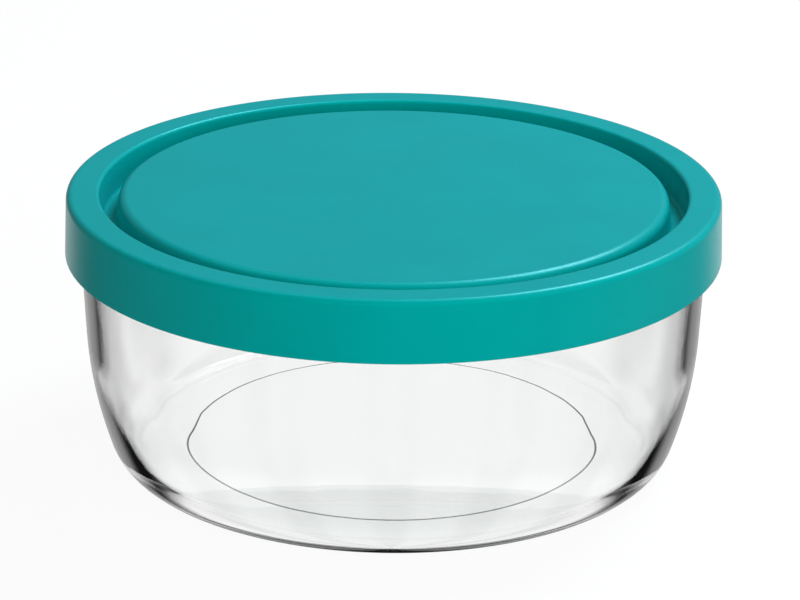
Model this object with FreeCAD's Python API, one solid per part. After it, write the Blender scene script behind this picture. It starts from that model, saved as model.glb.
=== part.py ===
"""Round pressed-glass food container with a one-piece press-fit lid.

Units are millimetres, +Z is up, and the origin is the centre of the bowl's resting face.
Both pieces are turned about the Z axis: each is one closed half-section, revolved.
"""
import FreeCAD
import Part
import math
import os

# ---- driving dimensions -------------------------------------------------------------------
lid_radius = 75.5              # outer edge of the skirt, at its lower lip
overall_height = 64.2          # resting face to the top of the lid's rim
skirt_height = 14.0            # lower lip to the top of the rim
skirt_lean = 0.45              # the skirt narrows by this much on its way up
lid_sheet = 1.4                # wall thickness of the moulded lid
seat_gap = 0.3                 # play between the lid and the glass, all round

rim_edge_round = 1.5           # outer top edge of the lid
groove_edge_round = 0.9        # rim's inner edge, where it turns down into the groove
groove_outer_radius = 67.4     # rim side of the groove
groove_inner_radius = 63.2     # panel side of the groove
groove_depth = 7.4             # below the rim
groove_floor_round = 0.9
groove_draft = 0.3             # each groove wall leans this much towards the other
panel_drop = 0.8               # the centre panel lies this much below the rim
panel_edge_round = 2.2
snap_bead_height = 4.0         # above the skirt's lower lip
snap_bead_proud = 0.4
snap_bead_half_width = 1.3

bead_proud = 0.75              # the rim's bead stands out this much from the wall
bead_depth = 4.4               # straight part of the bead, down from the rim
bead_run_out = 1.8             # height over which the bead fades into the wall
rim_round = 1.2                # both edges of the rim
wall_draft = 0.048             # inward lean of the outer wall, per millimetre of height
belly_height = 31.02           # below this the straight outer wall turns into the belly
belly_curve = 87.79            # radius of the belly's curve where it begins
heel_height = 5.72             # the heel is the curve between the belly and the resting face
heel_fullness = 0.52           # how far the heel's curve reaches into its corner
flat_radius = 59.62            # the heel meets the resting face here
inner_wall_radius = 69.83      # inside of the wall, at inner_wall_height
inner_wall_height = 50.0
inner_draft = 0.0629           # outward lean of the inside wall, per millimetre of height
inner_belly_height = 25.60
inner_belly_curve = 54.53
corner_height = 6.86           # the curve between the inside wall and the inside floor
corner_width = 5.70
corner_fullness = 0.48
base_thickness = 2.48          # at the edge of the inside floor
floor_crown = 0.55             # the inside floor stands this much higher at its centre
ring_radius = 47.92            # mould ring: step where the mould's base plate met its ring
ring_step = 0.2
ring_step_width = 0.3
base_hollow = 0.32             # the underside's centre stands this much above the ring step

# ---- worked out from them -----------------------------------------------------------------
lip_z = overall_height - skirt_height
glass_top = overall_height - lid_sheet
skirt_inner_top = lid_radius - skirt_lean - lid_sheet
bead_radius = skirt_inner_top - seat_gap - 0.1


def point(radius, height):
    """A point of a half-section, at a radius from the Z axis and a height."""
    return FreeCAD.Vector(radius, 0.0, height)


def on_arc(centre, radius, degrees):
    """The point of a circle about `centre` at an angle from outward (+X) towards up (+Z)."""
    turn = math.radians(degrees)
    return point(centre.x + radius * math.cos(turn), centre.z + radius * math.sin(turn))


class Outline:
    """A half-section drawn point by point: straight runs, and arcs through a middle point."""

    def __init__(self, start):
        self.start = start
        self.last = start
        self.edges = []

    def line(self, end):
        self.edges.append(Part.LineSegment(self.last, end).toShape())
        self.last = end

    def arc(self, middle, end):
        self.edges.append(Part.Arc(self.last, middle, end).toShape())
        self.last = end

    def curve(self, *controls):
        """A Bezier curve from the last point, drawn by its control points, to the last of them."""
        bezier = Part.BezierCurve()
        bezier.setPoles([self.last] + list(controls))
        self.edges.append(bezier.toShape())
        self.last = controls[-1]

    def round(self, centre, radius, first, last):
        """A straight run to the arc's beginning, then the arc from angle `first` to `last`."""
        begin = on_arc(centre, radius, first)
        if begin.distanceToPoint(self.last) > 1e-6:
            self.line(begin)
        self.arc(on_arc(centre, radius, (first + last) / 2), on_arc(centre, radius, last))

    def revolved(self):
        """Closes the outline and turns it once about the Z axis into a solid."""
        self.line(self.start)
        face = Part.Face(Part.Wire(self.edges))
        return face.revolve(FreeCAD.Vector(0, 0, 0), FreeCAD.Vector(0, 0, 1), 360)


def wall_and_belly(radius_at, draft, belly_top, belly_bottom, curve_radius):
    """Foot of a drafted wall whose belly is a parabola: its middle pole, its end and its slope."""
    depth = belly_top - belly_bottom
    pole = point(radius_at(belly_bottom + depth / 2), belly_bottom + depth / 2)
    end = point(radius_at(belly_bottom) - depth ** 2 / (2 * curve_radius), belly_bottom)
    return pole, end, draft + depth / curve_radius


def glass_bowl():
    """Pressed glass: base, heel, belly, drafted wall and beaded rim as one solid."""
    def outside(height):
        return bead_radius - bead_proud - wall_draft * (glass_top - height)

    def inside(height):
        return inner_wall_radius + inner_draft * (height - inner_wall_height)

    corner_top = base_thickness + corner_height
    inner_pole, inner_foot, inner_slope = wall_and_belly(
        inside, inner_draft, inner_belly_height, corner_top, inner_belly_curve)
    outer_pole, heel_top, outer_slope = wall_and_belly(
        outside, wall_draft, belly_height, heel_height, belly_curve)
    floor_radius = inner_foot.x - corner_width

    # inside, from the middle of the floor up to the rim
    outline = Outline(point(0, base_thickness + floor_crown))
    outline.curve(point(floor_radius / 2, base_thickness + floor_crown),
                  point(floor_radius, base_thickness))
    outline.curve(point(floor_radius + corner_fullness * corner_width, base_thickness),
                  point(inner_foot.x - inner_slope * corner_fullness * corner_height,
                        corner_top - corner_fullness * corner_height), inner_foot)
    outline.curve(inner_pole, point(inside(inner_belly_height), inner_belly_height))
    rim_foot = glass_top - rim_round
    outline.round(point(inside(rim_foot) + rim_round, rim_foot), rim_round, 180, 90)
    # outside, from the rim down to the resting face and under the base
    outline.round(point(bead_radius - rim_round, rim_foot), rim_round, 90, 0)
    outline.line(point(bead_radius, glass_top - bead_depth))
    bead_foot = glass_top - bead_depth - bead_run_out
    outline.line(point(outside(bead_foot), bead_foot))
    outline.line(point(outside(belly_height), belly_height))
    outline.curve(outer_pole, heel_top)
    outline.curve(point(heel_top.x - outer_slope * heel_fullness * heel_height,
                        (1 - heel_fullness) * heel_height),
                  point(flat_radius + heel_fullness * (heel_top.x - flat_radius), 0),
                  point(flat_radius, 0))
    outline.line(point(ring_radius, 0))
    outline.line(point(ring_radius - ring_step_width, ring_step))
    top = ring_step + base_hollow
    outline.curve(point((ring_radius - ring_step_width) / 2, top), point(0, top))
    return outline.revolved()


def lid():
    """One moulding of even sheet: skirt with snap bead, rim, plug groove and centre panel."""
    rim_top = overall_height
    panel_top = rim_top - panel_drop
    groove_floor = rim_top - groove_depth
    under_round = groove_floor_round + lid_sheet

    outline = Outline(point(0, panel_top))
    # upper side, from the panel outwards
    outline.round(point(groove_inner_radius - panel_edge_round, panel_top - panel_edge_round),
                  panel_edge_round, 90, 0)
    floor_inner = point(groove_inner_radius + groove_draft + groove_floor_round,
                        groove_floor + groove_floor_round)
    floor_outer = point(groove_outer_radius - groove_draft - groove_floor_round, floor_inner.z)
    outline.round(floor_inner, groove_floor_round, 180, 270)
    outline.round(floor_outer, groove_floor_round, 270, 360)
    outline.round(point(groove_outer_radius + groove_edge_round, rim_top - groove_edge_round),
                  groove_edge_round, 180, 90)
    outline.round(point(lid_radius - skirt_lean - rim_edge_round, rim_top - rim_edge_round),
                  rim_edge_round, 90, 0)
    outline.line(point(lid_radius, lip_z))
    # under side, back inwards: the snap bead is a low arc on the skirt's inner face
    inner_lip = point(lid_radius - lid_sheet, lip_z)
    lean = skirt_lean / (skirt_height - rim_edge_round)
    bead_z = lip_z + snap_bead_height
    bead_face = inner_lip.x - lean * snap_bead_height
    outline.line(inner_lip)
    outline.line(point(bead_face + lean * snap_bead_half_width, bead_z - snap_bead_half_width))
    outline.arc(point(bead_face - snap_bead_proud, bead_z),
                point(bead_face - lean * snap_bead_half_width, bead_z + snap_bead_half_width))
    outline.line(point(skirt_inner_top, rim_top - rim_edge_round))
    outline.line(point(skirt_inner_top, glass_top))
    outline.line(point(groove_outer_radius + lid_sheet, glass_top))
    outline.round(floor_outer, under_round, 360, 270)
    outline.round(floor_inner, under_round, 270, 180)
    outline.line(point(groove_inner_radius - lid_sheet, panel_top - lid_sheet))
    outline.line(point(0, panel_top - lid_sheet))
    return outline.revolved()


os.makedirs("parts", exist_ok=True)
for name, make in (("glass_bowl", glass_bowl), ("lid", lid)):
    shape = make()
    shape.exportStep("parts/" + name + ".step")
    box = shape.BoundBox
    print(name, "valid", shape.isValid(), "volume cm3", round(shape.Volume / 1000, 1),
          "z", round(box.ZMin, 2), round(box.ZMax, 2), "radius", round(box.XMax, 2))
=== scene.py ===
import math
import bmesh
import bpy
from mathutils import Matrix, Vector


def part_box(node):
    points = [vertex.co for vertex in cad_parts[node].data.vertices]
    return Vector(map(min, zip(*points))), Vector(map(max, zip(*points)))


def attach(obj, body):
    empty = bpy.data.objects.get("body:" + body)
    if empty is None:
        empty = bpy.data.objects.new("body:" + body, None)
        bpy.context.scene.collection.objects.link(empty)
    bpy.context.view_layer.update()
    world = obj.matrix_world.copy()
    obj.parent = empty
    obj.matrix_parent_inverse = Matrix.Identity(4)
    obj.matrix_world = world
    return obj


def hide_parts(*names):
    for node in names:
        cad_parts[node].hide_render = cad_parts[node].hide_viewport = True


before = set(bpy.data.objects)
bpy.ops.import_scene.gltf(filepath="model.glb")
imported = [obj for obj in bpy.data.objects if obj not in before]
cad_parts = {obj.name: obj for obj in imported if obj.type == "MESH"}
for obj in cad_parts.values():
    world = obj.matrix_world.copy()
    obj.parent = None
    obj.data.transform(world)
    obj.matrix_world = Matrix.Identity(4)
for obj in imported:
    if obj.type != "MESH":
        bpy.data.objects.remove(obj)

scene = bpy.context.scene
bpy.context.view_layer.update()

# ---- Glass bowl --------------------------------------------------------------------------------
# One gob of clear soda-lime glass, pressed in a mould and fire-polished: a beaded rim, a wall
# with a little draft, a rounded belly and heel, and a base hollowed a little inside a mould ring.
# It stands on that base and carries the lid on its rim.
mm = 0.001
bowl_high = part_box("glass_bowl")[1]
bead_radius = bowl_high[0]
glass_top = bowl_high[2]
bead_proud = 0.75 * mm             # the rim's bead stands out this far from the wall
bead_depth = 4.4 * mm              # its height, and then what it takes to run into the wall
bead_run_out = 1.8 * mm
rim_round = 1.2 * mm
wall_draft = 0.048                 # the outer wall leans in this much per unit of height
belly_height = 31.02 * mm          # below this the straight outer wall turns into the belly
belly_curve = 87.79 * mm           # radius of the belly's curve
heel_height = 5.72 * mm            # the belly ends and the heel begins here
heel_fullness = 0.52               # how far the heel's curve reaches into its corner
flat_radius = 59.62 * mm           # the heel meets the resting face here
inner_wall_radius = 69.83 * mm     # inside of the wall, at the height that follows
inner_wall_height = 50.0 * mm
inner_draft = 0.0629               # the inside leans in faster, so the wall is thicker below
inner_belly_height = 25.60 * mm
inner_belly_curve = 54.53 * mm
corner_height = 6.86 * mm          # the curve between the inside wall and the inside floor
corner_width = 5.70 * mm
corner_fullness = 0.48
base_thickness = 2.48 * mm
floor_crown = 0.55 * mm            # the inside floor stands this much higher at its centre
ring_radius = 47.92 * mm           # step where the mould's base plate meets its ring
ring_step = 0.2 * mm
ring_step_width = 0.3 * mm
base_hollow = 0.32 * mm            # the underside's centre stands this much above the step
ring_shade_core = 0.12 * mm              # half-width of the painted dark line in the step, then of its edge
ring_shade_edge = 0.36 * mm
TURNS = 256                        # facets round a turned piece
LATHE_REACH = 0.1                  # radius of the lathe's own circle, which sweeps the outline
CREASE = 0.12 * mm                 # points this close to a corner keep its shading sharp


class Outline:
    """Half-section of a turned piece, as (radius, height) points joined by runs and curves."""

    def __init__(self, radius, height):
        self.points = [Vector((radius, height))]

    def line(self, radius, height, steps=1):
        """A straight run from the last point."""
        self.curve((radius, height), steps=steps)

    def arc(self, centre, radius, first, last, steps, run=1):
        """A run of `run` steps to the arc's beginning, then the arc between two angles."""
        turns = [math.radians(first + (last - first) * i / steps) for i in range(steps + 1)]
        arc = [Vector(centre) + radius * Vector((math.cos(t), math.sin(t))) for t in turns]
        self.line(*arc[0], run)
        self.points += arc[1:]

    def curve(self, *controls, steps):
        """A Bezier curve to the last control point. More points close to both its ends keep
        smooth shading from spreading round the corners there."""
        poles = [self.points[-1]] + [Vector(control) for control in controls]
        stops = {i / steps for i in range(1, steps + 1)}
        near = CREASE / max((poles[-1] - poles[0]).length, CREASE)
        if near < 0.25:
            stops |= {near, 1 - near}
        for stop in sorted(stops):
            level = poles
            while len(level) > 1:
                level = [one.lerp(two, stop) for one, two in zip(level, level[1:])]
            self.points.append(level[0])


class Value:
    """A shader socket that Python's operators work on; node() makes every other kind of node."""

    def __init__(self, tree, socket=None):
        self.tree, self.socket = tree, socket

    def node(self, kind, settings=None, output=0, **inputs):
        """A new node: its settings first, then its sockets by name, or by number after an i."""
        made = self.tree.nodes.new(kind)
        for name, setting in (settings or {}).items():
            setattr(made, name, setting)
        for name, value in inputs.items():
            socket = made.inputs[int(name[1:]) if name[1:].isdigit() else name.replace("_", " ")]
            if isinstance(value, Value):
                self.tree.links.new(value.socket, socket)
            else:
                socket.default_value = value
        return Value(self.tree, made.outputs[output])

    def math(self, operation, first, second=0.0):
        return self.node("ShaderNodeMath", {"operation": operation}, i0=first, i1=second)

    def __add__(self, other):
        return self.math("ADD", self, other)

    def __radd__(self, other):
        return self.math("ADD", other, self)

    def __sub__(self, other):
        return self.math("SUBTRACT", self, other)

    def __rsub__(self, other):
        return self.math("SUBTRACT", other, self)

    def __mul__(self, other):
        return self.math("MULTIPLY", self, other)

    def __rmul__(self, other):
        return self.math("MULTIPLY", other, self)

    def step(self, low, high, to_low=0.0, to_high=1.0):
        """Goes smoothly from one level to another while this value goes from low to high."""
        return self.node("ShaderNodeMapRange", {"interpolation_type": "SMOOTHSTEP"}, Value=self,
                         From_Min=low, From_Max=high, To_Min=to_low, To_Max=to_high)

    def blend(self, first, second):
        """Colour between two colours, by this value."""
        return self.node("ShaderNodeMix", {"data_type": "RGBA"}, output=2, i0=self, i6=first,
                         i7=second)


def lathe_tree():
    """Geometry Nodes: sweeps an outline about the Z axis, closes its poles and smooths it."""
    tree = bpy.data.node_groups.new("lathe", "GeometryNodeTree")
    face = tree.interface
    for label, kind in (("Outline", "Geometry"), ("Turns", "Int"), ("Finish", "Material")):
        face.new_socket(label, in_out="INPUT", socket_type="NodeSocket" + kind)
    face.new_socket("Turned", in_out="OUTPUT", socket_type="NodeSocketGeometry")
    nodes = Value(tree)

    def asked(label):
        return nodes.node("NodeGroupInput", output=label)

    placed = nodes.node("GeometryNodeTransform", Geometry=asked("Outline"),
                        Translation=(-LATHE_REACH, 0, 0), Scale=(1, -1, 1))
    section = nodes.node("GeometryNodeMeshToCurve", Mesh=placed)
    circle = nodes.node("GeometryNodeCurvePrimitiveCircle", Resolution=asked("Turns"),
                        Radius=LATHE_REACH)
    swept = nodes.node("GeometryNodeCurveToMesh", Curve=circle, Profile_Curve=section)
    closed = nodes.node("GeometryNodeMergeByDistance", Geometry=swept, Distance=0.00001)
    smooth = nodes.node("GeometryNodeSetShadeSmooth", Geometry=closed)
    real = nodes.node("GeometryNodeRealizeInstances", Geometry=smooth)
    dressed = nodes.node("GeometryNodeSetMaterial", Geometry=real, Material=asked("Finish"))
    result = tree.nodes.new("NodeGroupOutput")
    tree.links.new(dressed.socket, result.inputs[0])
    return tree


LATHE = lathe_tree()


def turned(name, outline, finish):
    """Runs the lathe on an outline and keeps the result as a plain mesh."""
    points = [(*point, 0.0) for point in outline.points]
    section = bpy.data.meshes.new(name + "_outline")
    section.from_pydata(points, [(i, i + 1) for i in range(len(points) - 1)], [])
    piece = bpy.data.objects.new(name, section)
    scene.collection.objects.link(piece)
    lathe = piece.modifiers.new("lathe", "NODES")
    lathe.node_group = LATHE
    sockets = {item.name: item.identifier for item in LATHE.interface.items_tree}
    lathe[sockets["Turns"]] = TURNS
    lathe[sockets["Finish"]] = finish
    ready = piece.evaluated_get(bpy.context.evaluated_depsgraph_get())
    mesh = bpy.data.meshes.new_from_object(ready)
    piece.modifiers.remove(lathe)
    piece.data = mesh
    mesh.name = name
    return piece


def principled(name, **sockets):
    """A new material and its Principled shader, with the given sockets set."""
    material = bpy.data.materials.new(name)
    material.use_nodes = True
    shader = material.node_tree.nodes["Principled BSDF"]
    for label, value in sockets.items():
        shader.inputs[label.replace("_", " ")].default_value = value
    return material, shader, Value(material.node_tree)


def feed(shader, **values):
    """Links values to the shader's sockets of the same names."""
    for label, value in values.items():
        value.tree.links.new(value.socket, shader.inputs[label.replace("_", " ")])


clear_glass, glass_shader, nodes = principled("clear_glass", IOR=1.52, Roughness=0.0,
                                              Transmission_Weight=1.0)
place = nodes.node("ShaderNodeTexCoord", output="Object")
# the melt is very slightly uneven in tint, and fire-polishing leaves the faintest ripple
tint = nodes.node("ShaderNodeTexNoise", Vector=place, Scale=30.0, Detail=2.0).step(0.3, 0.7)
ripple = nodes.node("ShaderNodeTexNoise", Vector=place, Scale=160.0, Detail=1.0)
# a painted dark line along the step at the mould ring stands in for the shade that refraction in
# the step would give
x, y, z = (nodes.node("ShaderNodeSeparateXYZ", output=axis, Vector=place) for axis in "XYZ")
off_step = nodes.math("SQRT", x * x + y * y) - (ring_radius - ring_step_width / 2)
underside = z.step(1.5 * ring_step, 2.5 * ring_step, 1.0, 0.0)
painted_ring_shade = nodes.math("ABSOLUTE", off_step).step(ring_shade_core, ring_shade_edge, 1.0, 0.0) * underside
unlined_tint = tint.blend((0.985, 0.993, 0.990, 1), (0.995, 0.998, 0.997, 1))
feed(glass_shader,
     # the near-black colour here is painted shade along the ring step
     Base_Color=painted_ring_shade.blend(unlined_tint, (0.04, 0.045, 0.045, 1)),
     Normal=nodes.node("ShaderNodeBump", Height=ripple, Strength=0.15, Distance=0.05 * mm))


def wall_and_belly(radius_at, draft, belly_top, belly_bottom, belly_curve):
    """Foot of a drafted wall whose belly is a parabola: its middle pole, its end and its slope."""
    depth = belly_top - belly_bottom
    pole = (radius_at(belly_bottom + depth / 2), belly_bottom + depth / 2)
    end = (radius_at(belly_bottom) - depth ** 2 / (2 * belly_curve), belly_bottom)
    return pole, end, draft + depth / belly_curve


def bowl_outline():
    """From the middle of the inside floor, up and over the rim, to the middle of the underside."""

    def outside(height):
        return bead_radius - bead_proud - wall_draft * (glass_top - height)

    def inside(height):
        return inner_wall_radius + inner_draft * (height - inner_wall_height)

    corner_top = base_thickness + corner_height
    inner_pole, inner_foot, inner_slope = wall_and_belly(
        inside, inner_draft, inner_belly_height, corner_top, inner_belly_curve)
    outer_pole, heel_top, outer_slope = wall_and_belly(
        outside, wall_draft, belly_height, heel_height, belly_curve)
    floor_radius = inner_foot[0] - corner_width

    line = Outline(0, base_thickness + floor_crown)
    line.curve((floor_radius / 2, base_thickness + floor_crown), (floor_radius, base_thickness),
               steps=12)
    line.curve((floor_radius + corner_fullness * corner_width, base_thickness),
               (inner_foot[0] - inner_slope * corner_fullness * corner_height,
                corner_top - corner_fullness * corner_height), inner_foot, steps=18)
    line.curve(inner_pole, (inside(inner_belly_height), inner_belly_height), steps=14)
    rim_foot = glass_top - rim_round
    line.arc((inside(rim_foot) + rim_round, rim_foot), rim_round, 180, 90, steps=8, run=20)
    line.arc((bead_radius - rim_round, rim_foot), rim_round, 90, 0, steps=8, run=2)
    line.line(bead_radius, glass_top - bead_depth, steps=2)
    bead_foot = glass_top - bead_depth - bead_run_out
    line.line(outside(bead_foot), bead_foot, steps=2)
    line.line(outside(belly_height), belly_height, steps=14)
    line.curve(outer_pole, heel_top, steps=16)
    line.curve((heel_top[0] - outer_slope * heel_fullness * heel_height,
                (1 - heel_fullness) * heel_height),
               (flat_radius + heel_fullness * (heel_top[0] - flat_radius), 0),
               (flat_radius, 0), steps=16)
    line.line(ring_radius, 0, steps=8)
    line.line(ring_radius - ring_step_width, ring_step, steps=2)
    top = ring_step + base_hollow
    line.curve(((ring_radius - ring_step_width) / 2, top), (0, top), steps=10)
    return line


bowl = turned("glass_bowl_pressed", bowl_outline(), clear_glass)
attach(bowl, "bowl")
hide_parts("glass_bowl")

# ---- Lid ---------------------------------------------------------------------------------------
# One injection moulding of flexible polyethylene: a skirt that grips the glass rim, a flat rim,
# a plug groove and a centre panel. It is pressed on by hand and pulls off upwards.
lid_low, lid_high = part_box("lid")
lid_radius = lid_high[0]
lid_top = lid_high[2]
lip_z = lid_low[2]
skirt_lean = 0.45 * mm             # the skirt narrows this much from its lip to its top
lid_sheet = 1.4 * mm               # thickness of the moulding, the same all over
rim_edge_round = 1.5 * mm
groove_outer_radius = 67.4 * mm    # the groove's outer wall plugs into the glass
groove_inner_radius = 63.2 * mm
groove_depth = 7.4 * mm
groove_edge_round = 0.9 * mm
groove_floor_round = 0.9 * mm
groove_draft = 0.3 * mm
panel_drop = 0.8 * mm              # the centre panel stands this much below the rim
panel_edge_round = 2.2 * mm
panel_edge_start = 82              # degrees: the rounding leaves the flat with a faint crease
snap_bead_height = 4.0 * mm        # above the lip
snap_bead_proud = 0.4 * mm
snap_bead_half_width = 1.3 * mm
snap_bead_points = 4               # on each side of its crest

teal, teal_shader, nodes = principled("teal_polyethylene", IOR=1.5, Specular_IOR_Level=0.3,
                                      Specular_Tint=(0, 1, 1, 1))
place = nodes.node("ShaderNodeTexCoord", output="Object")
# the melt's flow leaves faint clouds; the mould's fine blasted grain gives the satin surface
cloud = nodes.node("ShaderNodeTexNoise", Vector=place, Scale=45.0, Detail=3.0).step(0.3, 0.7)
grain = nodes.node("ShaderNodeTexNoise", Vector=place, Scale=2600.0, Detail=2.0)
sink = nodes.node("ShaderNodeTexNoise", Vector=place, Scale=70.0, Detail=1.0)
feed(teal_shader,
     Base_Color=cloud.blend((0.0, 0.352, 0.343, 1), (0.0, 0.368, 0.357, 1)),
     Roughness=grain.step(0.3, 0.7, 0.28, 0.34),
     Normal=nodes.node("ShaderNodeBump", Height=grain * 0.03 + sink, Strength=0.5,
                       Distance=0.06 * mm))


def lid_outline():
    """From the middle of the panel's top, out and down to the lip, and back underneath."""
    panel_top = lid_top - panel_drop
    groove_floor = lid_top - groove_depth
    under_round = groove_floor_round + lid_sheet
    floor_z = groove_floor + groove_floor_round
    floor_in = (groove_inner_radius + groove_draft + groove_floor_round, floor_z)
    floor_out = (groove_outer_radius - groove_draft - groove_floor_round, floor_z)
    line = Outline(0, panel_top)
    panel_edge_z = panel_top - panel_edge_round * math.sin(math.radians(panel_edge_start))
    line.arc((groove_inner_radius - panel_edge_round, panel_edge_z), panel_edge_round,
             panel_edge_start, 0, steps=10, run=12)
    line.arc(floor_in, groove_floor_round, 180, 270, steps=8, run=3)
    line.arc(floor_out, groove_floor_round, 270, 360, steps=8, run=2)
    line.arc((groove_outer_radius + groove_edge_round, lid_top - groove_edge_round),
             groove_edge_round, 180, 90, steps=8, run=3)
    line.arc((lid_radius - skirt_lean - rim_edge_round, lid_top - rim_edge_round),
             rim_edge_round, 90, 0, steps=10, run=3)
    line.line(lid_radius, lip_z, steps=6)
    lean = skirt_lean / (lid_top - rim_edge_round - lip_z)
    skirt_inner_top = lid_radius - skirt_lean - lid_sheet
    line.line(lid_radius - lid_sheet, lip_z, steps=2)
    # the snap bead is a low swelling of the skirt's inner face
    for i in range(-snap_bead_points, snap_bead_points + 1):
        across = i / snap_bead_points
        height = snap_bead_height + snap_bead_half_width * across
        swell = snap_bead_proud * (1 - across ** 2)
        line.line(lid_radius - lid_sheet - lean * height - swell, lip_z + height)
    line.line(skirt_inner_top, lid_top - rim_edge_round, steps=6)
    line.line(skirt_inner_top, lid_top - lid_sheet)
    line.line(groove_outer_radius + lid_sheet, lid_top - lid_sheet, steps=2)
    line.arc(floor_out, under_round, 360, 270, steps=8, run=3)
    line.arc(floor_in, under_round, 270, 180, steps=8, run=2)
    line.line(groove_inner_radius - lid_sheet, panel_top - lid_sheet, steps=3)
    line.line(0, panel_top - lid_sheet, steps=12)
    return line


lid = turned("lid_moulding", lid_outline(), teal)
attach(lid, "lid")
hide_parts("lid")

# ---- Camera ------------------------------------------------------------------------------------
# A long lens, aimed at the middle of the object from a little above. It is rolled by half a
# degree about its own axis.
camera_distance = 0.785
camera_elevation = math.radians(20.46)
camera_roll = math.radians(0.57)
aim = Vector((1.6 * mm, 0, 36.5 * mm))
camera_data = bpy.data.cameras.new("camera")
camera_data.sensor_width = 36.0
camera_data.lens = 152.1
camera = bpy.data.objects.new("camera", camera_data)
scene.collection.objects.link(camera)
back = Vector((0, -math.cos(camera_elevation), math.sin(camera_elevation)))
level = Vector((1, 0, 0))
upright = level.cross(-back)
side = level * math.cos(camera_roll) + upright * math.sin(camera_roll)
top = upright * math.cos(camera_roll) - level * math.sin(camera_roll)
camera.matrix_world = Matrix.Translation(aim + back * camera_distance) @ Matrix(
    (side, top, back)).transposed().to_4x4()
camera_data.clip_start = 0.05
camera_data.clip_end = 50
scene.camera = camera

# ---- Floor, light and background ---------------------------------------------------------------
# A plain white tabletop in a white room. Clear glass shows its form only by what it bends into
# view, so eight soft black cards stand low round the bowl, evenly, and only the glass sees them.
floor_disc = bmesh.new()
bmesh.ops.create_circle(floor_disc, cap_ends=True, radius=2.0, segments=96)
floor_mesh = bpy.data.meshes.new("floor")
floor_disc.to_mesh(floor_mesh)
floor_disc.free()
floor_mesh.transform(Matrix.Translation((0, 0, -0.1 * mm)))
floor = bpy.data.objects.new("floor", floor_mesh)
scene.collection.objects.link(floor)
pale = bpy.data.materials.new("pale_floor")
pale.use_nodes = True
pale.node_tree.nodes.clear()
nodes = Value(pale.node_tree)
surface = nodes.node("ShaderNodeBsdfDiffuse", Color=(0.8, 0.8, 0.8, 1))
shown = nodes.node("ShaderNodeAddShader",
                   i0=nodes.node("ShaderNodeEmission", Color=(0.93, 0.93, 0.93, 1)),
                   i1=nodes.node("ShaderNodeBsdfDiffuse", Color=(0.07, 0.07, 0.07, 1)))
clear = nodes.node("ShaderNodeBsdfTransparent")
# gloss and glass look through it to the room's light from below, which the world gives
for ray, meets in (("Is Camera Ray", shown), ("Is Glossy Ray", clear),
                   ("Is Transmission Ray", clear)):
    surface = nodes.node("ShaderNodeMixShader", i0=nodes.node("ShaderNodeLightPath", output=ray),
                         i1=surface, i2=meets)
underneath = nodes.node("ShaderNodeNewGeometry", output="Backfacing")
surface = nodes.node("ShaderNodeMixShader", i0=underneath, i1=surface, i2=clear)
out = pale.node_tree.nodes.new("ShaderNodeOutputMaterial")
pale.node_tree.links.new(surface.socket, out.inputs["Surface"])
floor_mesh.materials.append(pale)

world = bpy.data.worlds.new("studio")
world.use_nodes = True
scene.world = world
background = world.node_tree.nodes["Background"]
nodes = Value(world.node_tree)
heading = nodes.node("ShaderNodeTexCoord", output="Generated")
x, y, z = (nodes.node("ShaderNodeSeparateXYZ", output=axis, Vector=heading) for axis in "XYZ")
to_degrees = math.degrees(1)
elevation = nodes.math("ARCSINE", z) * to_degrees
turn = nodes.math("ARCTAN2", x, y) * to_degrees
card_pitch = 45.0                  # degrees from one card to the next, and from a gap to the next
aside = nodes.math("PINGPONG", turn, card_pitch / 2)      # degrees from the middle of a gap

# a pair called edge or foot is the two elevations, or turns, between which one level becomes
# another; all these angles are in degrees
card_side, card_blur = 5.0, 8.5    # a card begins here beside a gap, at card_low
card_low, card_lean = -20, 0.3     # and it begins this much further aside per degree upwards
card_foot = (-46.5, -35.1)
card_top, card_top_blur = 13.8, 14.8
card_middle, card_top_slant = 14, 1.16         # its top is at card_top here, and slants from here
beside_gap = (aside - card_side - card_lean * (elevation - card_low)).step(-card_blur, card_blur)
over_top = elevation - card_top - card_top_slant * (aside - card_middle)
card_height = elevation.step(*card_foot) * over_top.step(-card_top_blur, card_top_blur, 1.0, 0.0)
# only light that is reflected inside the glass meets a card, so the bowl stays clear when it is
# seen straight through, and its thick edges are dark
reflected = nodes.node("ShaderNodeLightPath", output="Glossy Depth").step(0, 1)
ceiling_edge, ceiling_level = (35, 60), 0.97
table_edge, table_level = (-58, -42), 0.88
refracted = ((1 - beside_gap * card_height * reflected)
             * elevation.step(*ceiling_edge, 1.0, ceiling_level)
             * elevation.step(*table_edge, table_level, 1.0))

# the glass's own gloss sees the gaps darker than what stands between them
gap_side, gap_blur = 9.2, 5.9
gap_edge, gap_levels = (-20.9, -12.9), (0.03, 0.5)        # levels below and above that edge
between_edge, between_levels = (-45.7, -35.7), (1.0, 0.65)
gap_gloss = elevation.step(*gap_edge, *gap_levels)
between_gloss = elevation.step(*between_edge, *between_levels)
out_of_gap = aside.step(gap_side - gap_blur, gap_side + gap_blur)
mirrored = gap_gloss + (between_gloss - gap_gloss) * out_of_gap

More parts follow.
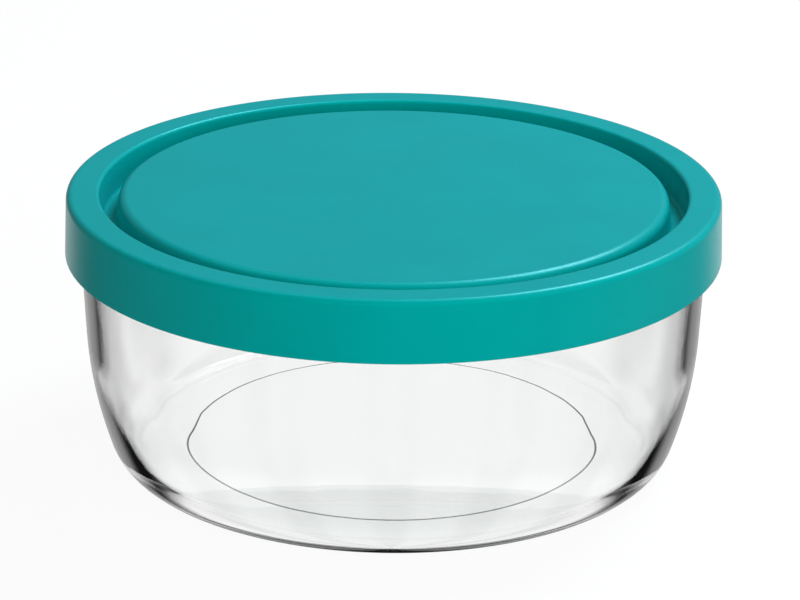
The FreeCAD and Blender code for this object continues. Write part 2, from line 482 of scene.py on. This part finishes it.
# the lid's satin gloss sees a dim room with a white wall at +Y and a bright ceiling
wall_edge, wall_levels = (20, 50), (1.0, 0.05)
dim_level, dim_edge = 0.15, (-15, 0)
overhead_edge, overhead_level = (45, 60), 1.1
white_wall = nodes.math("ABSOLUTE", turn).step(*wall_edge, *wall_levels)
satin = (white_wall + (dim_level - white_wall) * elevation.step(*dim_edge)
         + elevation.step(*overhead_edge, 0.0, overhead_level))

fill = 0.12                        # the room's light on everything else
strength = fill
mirror_ray = nodes.node("ShaderNodeLightPath", output="Is Singular Ray")
# a refracted ray also counts as glossy, so transmission comes after gloss
for ray, seen in (("Is Glossy Ray", satin + (mirrored - satin) * mirror_ray),
                  ("Is Transmission Ray", refracted), ("Is Camera Ray", 1.0)):
    strength = strength + nodes.node("ShaderNodeLightPath", output=ray) * (seen - strength)
background.inputs["Color"].default_value = (1, 1, 1, 1)
nodes.tree.links.new(strength.socket, background.inputs["Strength"])

# three round soft lamps: azimuth and elevation in degrees, diameter in metres, watts, colour
lamp_distance = 1.0
lamp_aim = Vector((0, 0, 0.05))
for name, azimuth, rise, size, energy, colour in (
        ("key", 135, 25, 0.9, 3.35, (1.0, 1.0, 0.95)),
        ("front", 180, 25, 0.9, 3.7, (1.0, 1.0, 0.9)),
        ("top", 45, 55, 0.5, 9.4, (0.92, 0.97, 1.15))):
    lamp_data = bpy.data.lights.new(name, "AREA")
    lamp_data.shape = "DISK"
    lamp_data.size = size
    lamp_data.energy = energy
    lamp_data.color = colour
    lamp_data.use_nodes = True
    # the clear glass shows the room and the cards, not the lamps
    nodes = Value(lamp_data.node_tree)
    shining = 1 - nodes.node("ShaderNodeLightPath", output="Is Singular Ray")
    nodes.tree.links.new(shining.socket, nodes.tree.nodes["Emission"].inputs["Strength"])
    lamp = bpy.data.objects.new(name, lamp_data)
    scene.collection.objects.link(lamp)
    around, up = math.radians(azimuth), math.radians(rise)
    towards = Vector((math.sin(around) * math.cos(up), math.cos(around) * math.cos(up),
                      math.sin(up)))
    lamp.location = lamp_aim + towards * lamp_distance
    lamp.rotation_euler = towards.to_track_quat("Z", "Y").to_euler()
scene.view_settings.view_transform = "Standard"
